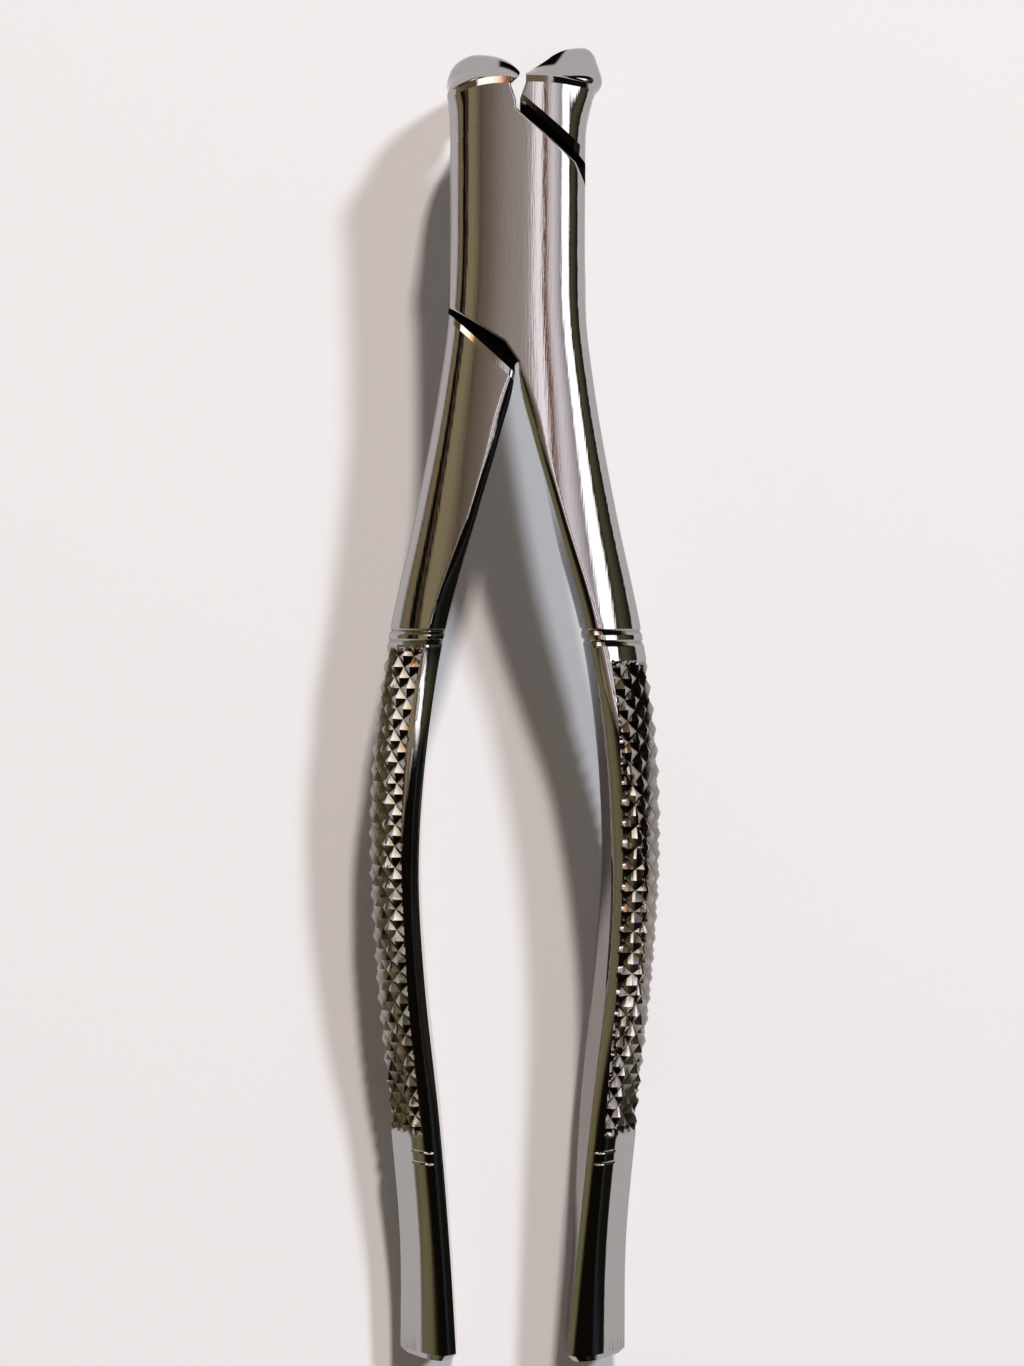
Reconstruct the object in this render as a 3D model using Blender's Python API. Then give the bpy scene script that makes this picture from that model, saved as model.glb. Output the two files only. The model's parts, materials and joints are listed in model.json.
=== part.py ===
"""Lower extraction forceps: two crossed steel levers turning on a blind pivot screw.

Lengths are in millimetres in the joint frame and become metres when a mesh is made. In the joint
frame the pivot axis is Z (front face at +Z), Y points towards the beaks and X to the right, seen
from the front. The front lever has its handle on the right and its beak on the left; the back
lever is its mirror image, except that its half of the lap is the back half.
"""
import math

import bmesh
import bpy
import numpy as np

MM = 0.001
MERGE_DISTANCE = 0.00001       # metres

# Joint block: a lap joint of two halves inside one rounded outline.
JOINT_HALF_WIDTH = 8.7
JOINT_HALF_THICKNESS = 5.0
JOINT_ROUNDNESS = 2.8          # superellipse exponent of the block's section
LAP_GAP = 0.1                  # between the two half-thickness plates
HALF_GAP = 0.25                # between the levers, at both ends of the crossing
CROTCH_Y = -16.6               # where the handles part
SHOULDER_BEVEL = 0.9
BEND_Y = 19.6                  # where the front face turns down into the beaks

# Pivot screw: its head is flush in the back lever, its end is blind in the front lever.
SCREW_SHANK_RADIUS = 2.5
SCREW_HEAD_RADIUS = 3.5
SCREW_HEAD_DEPTH = 1.6
SHANK_IN_HEAD = 0.6            # overlap of the two cylinders before they are joined
SCREW_HEAD_Z = -4.8
SCREW_END_Z = 3.4
SCREW_CLEARANCE = 0.08
DRIVER_SLOT_WIDTH = 0.8
DRIVER_SLOT_DEPTH = 0.8
BORE_BOTTOM_GAP = 0.2
CUTTER_OVERRUN = 1.0           # of a cutter past the face it starts from
ROUND_SIDES = 48

# Handles: (y, value) knots of the right handle, from the joint to the end.
HANDLE_END_Y = -145.0
HANDLE_OUTER_X = ((0, 8.7), (-9.9, 8.9), (-20, 10.2), (-35, 13.0), (-50, 16.3), (-63, 18.4),
                  (-77, 19.1), (-95, 18.3), (-115, 16.3), (-131, 15.0), (-145, 14.9))
HANDLE_INNER_X = ((CROTCH_Y, HALF_GAP), (-18.5, 0.45), (-25, 2.1), (-35, 5.0), (-50, 9.2), (-63, 11.3),
                  (-80, 12.5), (-95, 12.0), (-115, 10.0), (-131, 8.5), (-145, 7.3))
HANDLE_HALF_DEPTH = ((0, 5.0), (-20, 5.0), (-45, 4.8), (-80, 5.7), (-115, 5.2), (-145, 4.9))
HANDLE_DIP = 4.0               # of the handles towards the beaks' side, reached at their ends
DIP_START_Y = -28.0
INNER_EDGE_RADIUS = ((0, 0.3), (-19, 0.3), (-60, 2.2), (-145, 2.2))
RIDGE_SHARE = ((0, 0.0), (-20, 0.0), (-60, 1.0), (-145, 1.0))
RIDGE_FROM_INNER = 0.34        # of the handle's width, once the ridge has left the joint's middle
FLAT_INSIDE_Y = -20.0          # below this the face is level from the ridge to the inner edge
END_CHAMFER = 0.8
HANDLE_ROWS = 26
FIRST_ROW_IN = 4.0             # of the evenly spaced rows, from the handle's end
TURN_LENGTH = 32.0             # from the last square row to the joint's middle
TURN_ROWS = 6                  # rows that turn until they lie along the shoulder

# Crossing, seen from the front: the front lever's plate between its two slots.
PLATE_ROWS = (  # (left end, right end) of the lines that cross the plate, handle to beak
    ((HALF_GAP, CROTCH_Y), (8.9, -9.9)),
    ((0.28, -15.9), (8.85, -9.2)),
    ((-1.6, -13.2), (8.8, -6.6)),
    ((-8.7, -8.8), (8.7, -0.8)),
    ((-8.7, 0.0), (8.7, 6.9)),
    ((-8.7, 4.4), (7.4, 9.6)),
    ((-8.7, 8.9), (-HALF_GAP, 16.5)),
    ((-8.7, 9.8), (-HALF_GAP, 17.6)),
)
PLATE_STEPS = (1, 2, 4, 4, 2, 4, 1)
PLATE_EDGE_RADIUS = 0.25
UNDER_BEND_Y = 18.7            # where the back face turns down into the beaks
BEND_ROW = ((-8.75, BEND_Y), (-1.0, BEND_Y))
UPPER_SHOULDER_STEPS = ((0.0, 1.44), (-0.2, 0.54))  # (x, y) of the bevel, at its two ends
SHANK_ROWS = 3

# Beak, side view: (y, z) of its back and of its inner side, from the bend to the tip.
BEAK_BACK = ((19.6, 5.0), (20.6, 4.2), (21.9, 2.4), (23.9, -0.9), (25.4, -4.0), (25.9, -7.5),
             (25.5, -11.5), (24.6, -15.0), (23.6, -17.0))
BEAK_UNDER = ((18.7, -5.0), (19.0, -5.3), (19.2, -6.0), (19.3, -7.2), (19.4, -8.8), (19.6, -10.6),
              (19.9, -13.0), (20.4, -15.6), (20.8, -17.0))
BEAK_OUTER_X = (-8.75, -8.95, -9.2, -9.4, -9.3, -8.6, -7.0, -4.7, -3.0)
BEAK_INNER_X = (-1.0, -0.85, -0.8, -1.0, -2.0, -3.6, -4.0, -2.4, -0.95)
BEAK_HOLLOW = (0.0, 0.0, 0.0, 0.1, 0.5, 0.8, 0.8, 0.5, 0.0)
BEAK_LEAN = 0.9                # both beaks stand this far to the right of the joint's middle
BEAK_ROUNDNESS = 2.2
BEAK_RIDGE_SHARE = 0.52        # of the beak's width, from its outer side
BEAK_INNER_REACH = 1.12        # the crown's reach past the beak's inner edge
BEAK_SECTION_Y = 8.0           # where the joint's section is taken that the beak starts from
BEAK_STEPS = 2
LEAN_KNOTS = 3.0               # knots over which the beak takes up its lean
OWN_SECTION_KNOTS = 2.0        # knots over which it takes up its own section

ACROSS = 10                    # faces across a lever's front and across its back
WALL = 2                       # faces down each of its edges
SHARP_ANGLE = math.radians(35)
TILT = math.radians(2.9)       # of the pivot axis, with beak tips and handle ends on the ground

STEEL = (0.62, 0.61, 0.60, 1.0)
SCREW_STEEL = (0.55, 0.54, 0.53, 1.0)


def spline(knots, at):
    """Cubic Hermite curve through the knots, whose first values may rise or fall."""
    x = np.array([knot[0] for knot in knots], float)
    v = np.array([knot[1] for knot in knots], float)
    if x[0] > x[-1]:
        x, v = x[::-1], v[::-1]
    slope = np.gradient(v, x)
    at = np.clip(at, x[0], x[-1])
    i = np.clip(np.searchsorted(x, at) - 1, 0, len(x) - 2)
    h = x[i + 1] - x[i]
    t = (at - x[i]) / h
    rise = (2 * t**3 - 3 * t**2 + 1) * v[i] + (3 * t**2 - 2 * t**3) * v[i + 1]
    return rise + h * ((t**3 - 2 * t**2 + t) * slope[i] + (t**3 - t**2) * slope[i + 1])


def handle_dip(y):
    """Height of the handle's middle over the joint's middle plane."""
    t = np.clip((DIP_START_Y - y) / (DIP_START_Y - HANDLE_END_Y), 0, 1)
    return -HANDLE_DIP * t**2 * (3 - 2 * t)


def crown(x, middle, reach, exponent):
    """Height of a rounded section at x, as a share of its full height."""
    off = np.clip(np.abs(x - middle) / reach, 0, 1)
    return (1 - off**exponent) ** (1 / exponent)


def section_share(x, y):
    """Height of the lever's face over its middle plane, as a share of the half thickness."""
    outer = spline(HANDLE_OUTER_X, np.minimum(y, 0))
    inner = spline(HANDLE_INNER_X, np.minimum(y, CROTCH_Y))
    ridge = spline(RIDGE_SHARE, y) * (inner + RIDGE_FROM_INNER * (outer - inner))
    reach = np.where(x > ridge, outer - ridge, np.maximum(outer, JOINT_HALF_WIDTH))
    flat = (x < ridge) & (y < FLAT_INSIDE_Y)
    return np.where(flat, 1.0, crown(x, ridge, reach, JOINT_ROUNDNESS))


def rounded_edges(height, x, y, radius, left, right):
    """The face's height, with its edges rounded where it ends in a wall."""
    for end in (left, right):
        distance = np.hypot(x - end[0], y - end[1])
        short = np.clip(radius - distance, 0, radius)
        height = height - (radius - np.sqrt(radius**2 - short**2))
    return np.maximum(height, 0)


def walled(front, back):
    """A ring of points: the front from left to right, a wall, the back from right to left, a wall."""
    share = np.arange(1, WALL)[:, None] / WALL
    right = front[-1] + (back[-1] - front[-1]) * share
    left = back[0] + (front[0] - back[0]) * share
    return np.concatenate([front, right, back[::-1], left])


def across(count):
    return (1 - np.cos(np.pi * np.arange(count + 1) / count)) / 2


def lever_row(left, right):
    """Points across the handle or the joint, with the heights of its front and back there."""
    u = across(ACROSS)
    x = left[0] + (right[0] - left[0]) * u
    y = left[1] + (right[1] - left[1]) * u
    radius = PLATE_EDGE_RADIUS
    if left[1] < CROTCH_Y:
        radius = float(spline(INNER_EDGE_RADIUS, left[1]))
    height = spline(HANDLE_HALF_DEPTH, y) * section_share(x, y)
    height = rounded_edges(height, x, y, radius, left, right)
    middle = handle_dip(y)
    front_z = middle + height
    back_z = middle - height
    return x, y, front_z, back_z


def cut_row(row, side, is_plate=False, bevel=0.0):
    """The ring of a row: half as thick on the plate, and lowered by a shoulder's bevel."""
    x, y, front_z, back_z = row
    own, other = (front_z, -back_z) if side > 0 else (-back_z, front_z)
    if is_plate:
        own = np.maximum(own, LAP_GAP / 2)
        other = np.full_like(other, -LAP_GAP / 2)
    if bevel:
        other = np.maximum(other - bevel, np.minimum(other, 0))
    front_z, back_z = (own, -other) if side > 0 else (other, -own)
    front = np.stack([x * side, y, front_z], axis=1)
    back = np.stack([x * side, y, back_z], axis=1)
    return walled(front, back)


def between(row_a, row_b, t):
    a, b = np.array(row_a, float), np.array(row_b, float)
    return a + (b - a) * t


def handle_row(inner_y, outer_y):
    """A row across the handle between its two edges."""
    inner = (float(spline(HANDLE_INNER_X, inner_y)), inner_y)
    outer = (float(spline(HANDLE_OUTER_X, outer_y)), outer_y)
    return lever_row(inner, outer)


def handle_rings(side):
    """From the handle's chamfered end to the crotch, where the rows lie along the shoulder."""
    last_square = -HANDLE_END_Y - TURN_LENGTH
    along = np.concatenate([[0.0, END_CHAMFER], np.linspace(FIRST_ROW_IN, last_square, HANDLE_ROWS)])
    levels = HANDLE_END_Y + along
    rings = [cut_row(handle_row(y, y), side) for y in levels]
    end = rings[0]
    for axis in (0, 2):
        low, high = end[:, axis].min(), end[:, axis].max()
        middle = (low + high) / 2
        end[:, axis] = middle + (end[:, axis] - middle) * (1 - 2 * END_CHAMFER / (high - low))
    (_, inner_end), (_, outer_end) = PLATE_ROWS[0]
    for k in range(1, TURN_ROWS):
        t = k / TURN_ROWS
        inner_y = levels[-1] + (inner_end - levels[-1]) * t
        outer_y = levels[-1] + (outer_end - levels[-1]) * t
        rings.append(cut_row(handle_row(inner_y, outer_y), side))
    return rings


def joint_rings(side):
    """A bevelled shoulder, the half-thickness plate, the other shoulder and the shank."""
    first, last = PLATE_ROWS[0], PLATE_ROWS[-1]
    below = handle_row(first[0][1] - SHOULDER_BEVEL, first[1][1] - SHOULDER_BEVEL)
    rings = [cut_row(below, side)]
    rings.append(cut_row(lever_row(*first), side, bevel=SHOULDER_BEVEL))
    rings.append(cut_row(lever_row(*first), side, is_plate=True))
    for a, b, steps in zip(PLATE_ROWS, PLATE_ROWS[1:], PLATE_STEPS):
        for k in range(1, steps + 1):
            rings.append(cut_row(lever_row(*between(a, b, k / steps)), side, is_plate=True))
    above = np.array(last) + UPPER_SHOULDER_STEPS
    rings.append(cut_row(lever_row(*last), side, bevel=SHOULDER_BEVEL))
    rings.append(cut_row(lever_row(*above), side))
    for k in range(1, SHANK_ROWS):
        t = k / SHANK_ROWS
        ring = cut_row(lever_row(*between(above, BEND_ROW, t)), side)
        back = ring[:, 2] < 0
        ring[back, 1] += (BEND_Y - UNDER_BEND_Y) * t * ring[back, 2] / JOINT_HALF_THICKNESS
        rings.append(ring)
    return rings


def knot_curve(values, t):
    """The curve through evenly spaced values, at t knots from the first."""
    return float(spline(tuple(enumerate(values)), t))


def beak_rings(side):
    """From the bend to the tip; the beak is hollowed along its inner side."""
    rings = []
    for k in range((len(BEAK_BACK) - 1) * BEAK_STEPS + 1):
        t = k / BEAK_STEPS
        back = np.array([knot_curve([knot[axis] for knot in BEAK_BACK], t) for axis in (0, 1)])
        under = np.array([knot_curve([knot[axis] for knot in BEAK_UNDER], t) for axis in (0, 1)])
        outer_x = knot_curve(BEAK_OUTER_X, t)
        inner_x = knot_curve(BEAK_INNER_X, t)
        lean_share = min(1.0, t / LEAN_KNOTS)
        lean = BEAK_LEAN * lean_share**2 * (3 - 2 * lean_share)
        x = outer_x + (inner_x - outer_x) * across(ACROSS)
        joint_share = section_share(x, np.full_like(x, BEAK_SECTION_Y))
        ridge = outer_x + BEAK_RIDGE_SHARE * (inner_x - outer_x)
        reach = np.where(x < ridge, ridge - outer_x, (inner_x - ridge) * BEAK_INNER_REACH)
        own_share = crown(x, ridge, reach, BEAK_ROUNDNESS)
        share = joint_share + (own_share - joint_share) * min(1.0, t / OWN_SECTION_KNOTS)
        middle = (back + under) / 2
        front = np.column_stack([x * side + lean, middle + share[:, None] * (back - middle)])
        rear = np.column_stack([x * side + lean, middle + share[:, None] * (under - middle)])
        ring = walled(front, rear)
        inner_wall = slice(len(front), len(front) + WALL - 1)
        ring[inner_wall, 0] -= side * knot_curve(BEAK_HOLLOW, t)
        rings.append(ring)
    return rings


def lever_rings(side):
    """The rings of one lever, from the end of its handle to the tip of its beak."""
    return handle_rings(side) + joint_rings(side) + beak_rings(side)


def loft(name, rings):
    """One closed mesh through the rings, with flat ends."""
    mesh = bpy.data.meshes.new(name)
    bm = bmesh.new()
    verts = [[bm.verts.new(point * MM) for point in ring] for ring in rings]
    for a, b in zip(verts, verts[1:]):
        for j in range(len(a)):
            k = (j + 1) % len(a)
            bm.faces.new((a[j], a[k], b[k], b[j]))
    bm.faces.new(verts[0][::-1])
    bm.faces.new(verts[-1])
    bmesh.ops.remove_doubles(bm, verts=bm.verts, dist=MERGE_DISTANCE)
    bmesh.ops.dissolve_degenerate(bm, edges=bm.edges, dist=MERGE_DISTANCE)
    bmesh.ops.triangulate(bm, faces=bm.faces)
    bmesh.ops.recalc_face_normals(bm, faces=bm.faces)
    bm.to_mesh(mesh)
    bm.free()
    mesh.shade_smooth()
    mesh.set_sharp_from_angle(angle=SHARP_ANGLE)
    return bpy.data.objects.new(name, mesh)


def cylinder(name, radius, low, high):
    """A cylinder on the pivot axis from low to high."""
    bm = bmesh.new()
    bmesh.ops.create_cone(bm, cap_ends=True, segments=ROUND_SIDES, radius1=radius * MM,
                          radius2=radius * MM, depth=(high - low) * MM)
    bmesh.ops.translate(bm, verts=bm.verts, vec=(0, 0, (low + high) / 2 * MM))
    mesh = bpy.data.meshes.new(name)
    bm.to_mesh(mesh)
    bm.free()
    return bpy.data.objects.new(name, mesh)


def block(name, size, centre):
    bm = bmesh.new()
    bmesh.ops.create_cube(bm, size=1.0)
    bmesh.ops.scale(bm, verts=bm.verts, vec=[side * MM for side in size])
    bmesh.ops.translate(bm, verts=bm.verts, vec=[place * MM for place in centre])
    mesh = bpy.data.meshes.new(name)
    bm.to_mesh(mesh)
    bm.free()
    return bpy.data.objects.new(name, mesh)


def boolean(target, tool, operation):
    modifier = target.modifiers.new(tool.name, "BOOLEAN")
    modifier.operation = operation
    modifier.solver = "EXACT"
    modifier.object = tool


def steel(name, colour, roughness):
    material = bpy.data.materials.new(name)
    material.use_nodes = True
    shader = material.node_tree.nodes["Principled BSDF"]
    shader.inputs["Base Color"].default_value = colour
    shader.inputs["Metallic"].default_value = 1.0
    shader.inputs["Roughness"].default_value = roughness
    return material


def collection(name):
    made = bpy.data.collections.new(name)
    bpy.context.scene.collection.children.link(made)
    return made


def hide(cutter):
    cutter.hide_render = True
    cutter.display_type = "WIRE"


def clear_scene():
    for old in list(bpy.data.objects):
        bpy.data.objects.remove(old, do_unlink=True)


def build_levers(parts, cutters, root):
    """Both levers, each bored for the pivot screw."""
    levers = []
    for name, side in (("back_lever", -1), ("front_lever", 1)):
        lever = loft(name, lever_rings(side))
        lever.data.materials.append(steel(name + "_steel", STEEL, 0.15))
        parts.objects.link(lever)
        lever.parent = root
        levers.append(lever)
    back, front = levers
    bore_radius = SCREW_SHANK_RADIUS + SCREW_CLEARANCE
    seat_z = SCREW_HEAD_Z + SCREW_HEAD_DEPTH + SCREW_CLEARANCE
    below_face = -JOINT_HALF_THICKNESS - CUTTER_OVERRUN
    tools = (
        (front, cylinder("front_bore", bore_radius, -CUTTER_OVERRUN, SCREW_END_Z + BORE_BOTTOM_GAP)),
        (back, cylinder("back_bore", bore_radius, below_face, CUTTER_OVERRUN)),
        (back, cylinder("head_seat", SCREW_HEAD_RADIUS + SCREW_CLEARANCE, below_face, seat_z)),
    )
    for lever, tool in tools:
        cutters.objects.link(tool)
        tool.parent = root
        hide(tool)
        boolean(lever, tool, "DIFFERENCE")


def build_screw(parts, cutters, root):
    """The pivot screw, one turned piece with a driver slot in its head."""
    head_top = SCREW_HEAD_Z + SCREW_HEAD_DEPTH
    screw = cylinder("pivot_screw", SCREW_HEAD_RADIUS, SCREW_HEAD_Z, head_top)
    shank = cylinder("screw_shank", SCREW_SHANK_RADIUS, head_top - SHANK_IN_HEAD, SCREW_END_Z)
    slot = block("driver_slot", (3 * SCREW_HEAD_RADIUS, DRIVER_SLOT_WIDTH, 2 * DRIVER_SLOT_DEPTH),
                 (0, 0, SCREW_HEAD_Z))
    screw.data.materials.append(steel("screw_steel", SCREW_STEEL, 0.3))
    parts.objects.link(screw)
    screw.parent = root
    for tool, operation in ((shank, "UNION"), (slot, "DIFFERENCE")):
        cutters.objects.link(tool)
        tool.parent = root
        hide(tool)
        boolean(screw, tool, operation)


def stand_on_ground(root, meshes):
    """Moves the assembly so that its bounding box stands on z = 0, centred on the origin."""
    bpy.context.view_layer.update()
    corners = [obj.matrix_world @ vert.co for obj in meshes for vert in obj.data.vertices]
    low = [min(corner[axis] for corner in corners) for axis in range(3)]
    high = [max(corner[axis] for corner in corners) for axis in range(3)]
    root.location.x -= (low[0] + high[0]) / 2
    root.location.y -= (low[1] + high[1]) / 2
    root.location.z -= low[2]
    bpy.context.view_layer.update()


def main():
    clear_scene()
    parts = collection("extraction_forceps")
    cutters = collection("cutters")
    root = bpy.data.objects.new("pivot_frame", None)
    root.rotation_euler.x = TILT
    parts.objects.link(root)
    build_levers(parts, cutters, root)
    build_screw(parts, cutters, root)
    stand_on_ground(root, [obj for obj in parts.objects if obj.type == "MESH"])


main()
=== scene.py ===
"""The looks of the lower extraction forceps: polished forgings, knurled handles, room and camera.

Shapes are worked out in millimetres in the joint frame: the pivot axis is Z with the front face at
+Z, Y points towards the beaks and X to the right seen from the front. The front lever has its
handle on the right and its beak on the left; the back lever is its mirror image, with the back half
of the lap. Where the two differ, a table holds the front lever's numbers under 1 and the back
lever's under -1, before it is mirrored. A lever is a grid of closed rings, from its handle's end to
its beak's tip.
"""
import json
import math

import bmesh
import bpy
import numpy as np
from mathutils import Matrix, Vector


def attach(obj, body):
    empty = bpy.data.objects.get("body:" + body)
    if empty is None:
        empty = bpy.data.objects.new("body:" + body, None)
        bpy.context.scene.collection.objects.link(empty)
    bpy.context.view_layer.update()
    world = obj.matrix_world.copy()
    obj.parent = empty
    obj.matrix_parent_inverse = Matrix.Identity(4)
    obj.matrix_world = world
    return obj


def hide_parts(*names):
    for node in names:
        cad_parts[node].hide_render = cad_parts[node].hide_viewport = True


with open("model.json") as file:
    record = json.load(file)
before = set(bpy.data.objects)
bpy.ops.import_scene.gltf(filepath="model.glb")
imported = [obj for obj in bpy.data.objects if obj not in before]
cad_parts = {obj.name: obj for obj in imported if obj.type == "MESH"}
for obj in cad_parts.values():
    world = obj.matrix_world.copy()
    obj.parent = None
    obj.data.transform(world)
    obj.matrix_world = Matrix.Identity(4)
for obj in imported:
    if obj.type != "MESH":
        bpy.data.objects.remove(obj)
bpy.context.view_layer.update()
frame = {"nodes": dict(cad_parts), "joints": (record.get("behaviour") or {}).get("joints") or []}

MM = 0.001
PIVOT = frame["joints"][0]
TILT = math.atan2(-PIVOT["axis"][1], PIVOT["axis"][2])
JOINT_TO_WORLD = Matrix.Translation(PIVOT["pos_m"]) @ Matrix.Rotation(TILT, 4, "X")

# Joint block: a lap joint of two halves inside one rounded outline.
JOINT_HALF_WIDTH = 8.7
JOINT_HALF_THICKNESS = 5.0
LAP_GAP = 0.1                  # between the two half-thickness plates
HALF_GAP = 0.25                # between the levers, at both ends of the crossing
CROTCH_Y = -16.6               # where the handles part
SHOULDER_BEVEL = 0.9           # width of the shoulders' bevels
LOWER_BEVEL_DROP = 0.25        # how far the shoulder's bevel falls, on the handles' side
UPPER_BEVEL_DROP = 0.36        # and on the beaks' side
BEND_Y = 19.6                  # where the front face turns down into the beaks
UNDER_BEND_Y = 18.7            # and where the back face does

# Handles: (y, value) knots, from the joint to the end.
HANDLE_END_Y = -146.4
HANDLE_OUTER_X = ((0, 8.7), (-9.9, 8.9), (-20, 10.2), (-35, 13.0), (-50, 16.3), (-63, 18.4),
                  (-77, 19.1), (-95, 18.3), (-115, 16.3), (-131, 15.0), (-146.4, 14.9))
HANDLE_INNER_X = ((CROTCH_Y, HALF_GAP), (-18.5, 0.45), (-25, 2.1), (-35, 5.0), (-50, 9.2),
                  (-63, 11.3), (-80, 12.5), (-95, 12.0), (-115, 10.0), (-131, 8.5), (-146.4, 7.2))
HANDLE_HALF_DEPTH = ((0, 5.0), (-20, 5.0), (-45, 4.8), (-80, 5.7), (-115, 5.2), (-146.4, 4.9))
HANDLE_DIP = 4.0               # of the handles towards the beaks' side, reached at their ends
DIP_START_Y = -28.0
# Width of the bevel along the inner edge, which ends at 45 degrees.
INNER_EDGE_RADIUS = {
    1: ((-16.6, 0.3), (-19, 0.9), (-30, 1.2), (-40, 1.5), (-50, 2.1), (-65, 2.7), (-80, 3.0),
        (-100, 2.7), (-118, 2.1), (-146.4, 1.5)),
    -1: ((-16.6, 0.3), (-19, 0.9), (-30, 1.2), (-40, 1.5), (-47, 1.9), (-66, 1.9), (-80, 2.1),
         (-100, 2.2), (-118, 2.0), (-146.4, 1.5)),
}
LEFT_FACET = ((-36, 0.0), (-44, 0.74), (-56, 0.74), (-66, 0.56), (-146.4, 0.56))  # its first slope
# Highest line of the face, and the exponent of the superellipse that falls away outside it.
CREST_X = {
    1: ((0, 0), (-20, 0), (-35, 2.4), (-50, 7.6), (-62, 12.8), (-80, 16.6), (-100, 15.4),
        (-118, 11.2), (-131, 9.3), (-146.4, 8.2)),
    -1: ((0, 0), (-20, 0), (-35, 2.4), (-50, 7.6), (-62, 11.2), (-80, 13.2), (-100, 12.2),
         (-118, 10.2), (-131, 9.3), (-146.4, 8.2)),
}
ROUNDNESS = ((0, 2.8), (-18, 2.8), (-36, 2.1), (-146.4, 2.0))
FLAT_INSIDE_Y = -20.0          # below this the face is level from the crest to the inner edge
# The end's outer side is a wide bevel: (share of the width, from outside; share of the height).
END_SECTION = ((0, 0.09), (0.14, 0.30), (0.28, 0.508), (0.42, 0.712), (0.5, 0.79), (0.65, 0.906),
               (0.8, 0.965), (1, 1.0))
END_SECTION_FROM_Y = -96.0
END_SECTION_FULL_Y = -114.0
# The right handle's inner wall slopes out towards its back by this much; the left handle is wider.
WALL_SLOPE = ((-30, 0.0), (-39, 0.9), (-55, 1.0), (-77, 1.25), (-99, 1.75), (-110, 1.65),
              (-121, 1.2), (-133, 0.4), (-146.4, 0.3))
WALL_SLOPE_ENDS = 0.84         # share of the wall's height from which it turns back in
LEFT_WIDER = ((-30, 0.0), (-50, 0.1), (-60, 0.15), (-85, 0.1), (-100, 0.3), (-120, 0.3),
              (-133, 0.1), (-146.4, -0.2))
END_CHAMFER = 0.8
END_INSET_Z = 0.4

# Crossing, seen from the front: the front lever's plate between its two slots.
PLATE_ROWS = (  # (left end, right end) of the lines that cross the plate, handle to beak
    ((HALF_GAP, -17.2), (8.9, -9.4)),
    ((0.28, -15.9), (8.85, -8.85)),
    ((-1.6, -13.2), (8.8, -6.6)),
    ((-8.7, -8.8), (8.7, -0.8)),
    ((-8.7, 0.0), (8.7, 6.9)),
    ((-8.7, 4.4), (7.4, 9.6)),
    ((-8.7, 8.9), (-HALF_GAP, 16.5)),
    ((-8.7, 9.8), (-HALF_GAP, 17.6)),
)
PLATE_STEPS = (3, 10, 24, 24, 12, 24, 4)
PLATE_EDGE_RADIUS = 0.25
BEND_ROW = ((-8.75, BEND_Y), (-1.0, BEND_Y))
UPPER_SHOULDER_STEPS = ((0.0, 1.44), (-0.2, 0.54))  # (x, y) of the bevel, at its two ends
SHANK_ROWS = 8

# Beaks. Side view: (y, z) of the back and of the inner side, from the bend to the tip. The other
# tables hold a value for each of these knots.
BEAK_BACK = {
    1: ((20.5, 4.67), (20.95, 4.1), (21.9, 2.4), (23.5, -0.9), (24.5, -4.0), (24.85, -7.5),
        (24.6, -11.5), (24.2, -15.0), (23.6, -17.0)),
    -1: ((20.5, 4.67), (20.95, 4.1), (21.95, 2.4), (23.9, -0.9), (25.4, -4.0), (25.9, -7.5),
         (25.5, -11.5), (24.6, -15.0), (23.6, -17.0)),
}
BEAK_UNDER = ((18.7, -5.0), (19.0, -5.3), (19.2, -6.0), (19.3, -7.2), (19.4, -8.8), (19.6, -10.6),
              (19.9, -13.0), (20.4, -15.6), (20.8, -17.0))
BEAK_OUTER_X = (-8.75, -8.95, -9.2, -9.4, -9.3, -8.6, -7.2, -5.2, -3.4)
BEAK_INNER_X = {
    1: (-1.0, -0.85, -0.7, -0.75, -1.5, -3.2, -4.2, -3.2, -1.8),
    -1: (-1.0, -0.85, -0.95, -1.9, -2.8, -3.9, -4.0, -2.4, -0.95),
}
BEAK_HOLLOW = (0.0, 0.0, 0.0, 0.1, 0.5, 0.8, 0.8, 0.5, 0.0)
BEAK_LEAN = 0.9                # both beaks stand this far to the right of the joint's middle
LEAN_KNOTS = 3.0               # knots over which the beak takes up its lean
BEAK_TUCK = {1: 1.8, -1: 0.3}  # how far the underside's inner edge is drawn outwards
TUCK_KNOTS = 2.0               # knots over which it starts
TUCK_FADE_KNOTS = (5.0, 8.0)
BEAK_ROUNDNESS = 2.2
BEAK_RIDGE_SHARE = {1: 0.42, -1: 0.30}  # of the beak's width, from its outer side
BEAK_INNER_REACH = 1.12        # the crown's reach past the beak's inner edge
BEAK_SECTION_Y = 8.0           # where the joint's section is taken that the beak starts from
OWN_SECTION_KNOTS = {1: (0.0, 2.0), -1: (0.7, 3.6)}  # between them it gives way to the beak's own
BEAK_STEPS = 10
# How far the shank and the beak flare outwards, by y.
FLARE = {
    1: ((13.5, 0.0), (19.6, 0.3), (22, 0.85), (24, 1.0), (26, 1.0)),
    -1: ((13.5, 0.0), (16, 0.3), (18, 0.75), (20.3, 1.15), (22.1, 0.95), (24, 0.55), (26, 0.5)),
}
FLARE_X = (6.6, JOINT_HALF_WIDTH)  # between them the flare grows, from the joint's middle outwards
FLARE_BELOW = {1: 1.0, -1: 0.15}   # share of the flare that the underside keeps
FLARE_Z = (-6.0, 1.0)          # underside, and where the flare is full
# The bend's arch: how far it is drawn towards the handles, everywhere and by the square of x.
BEND_ARCH = {1: (0.25, 0.030), -1: (0.10, 0.008)}
ARCH_TOP_X = -2.0
ARCH_STARTS_Y = (13.0, 19.0)
ARCH_ENDS_Y = (22.0, 24.5)

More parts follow.
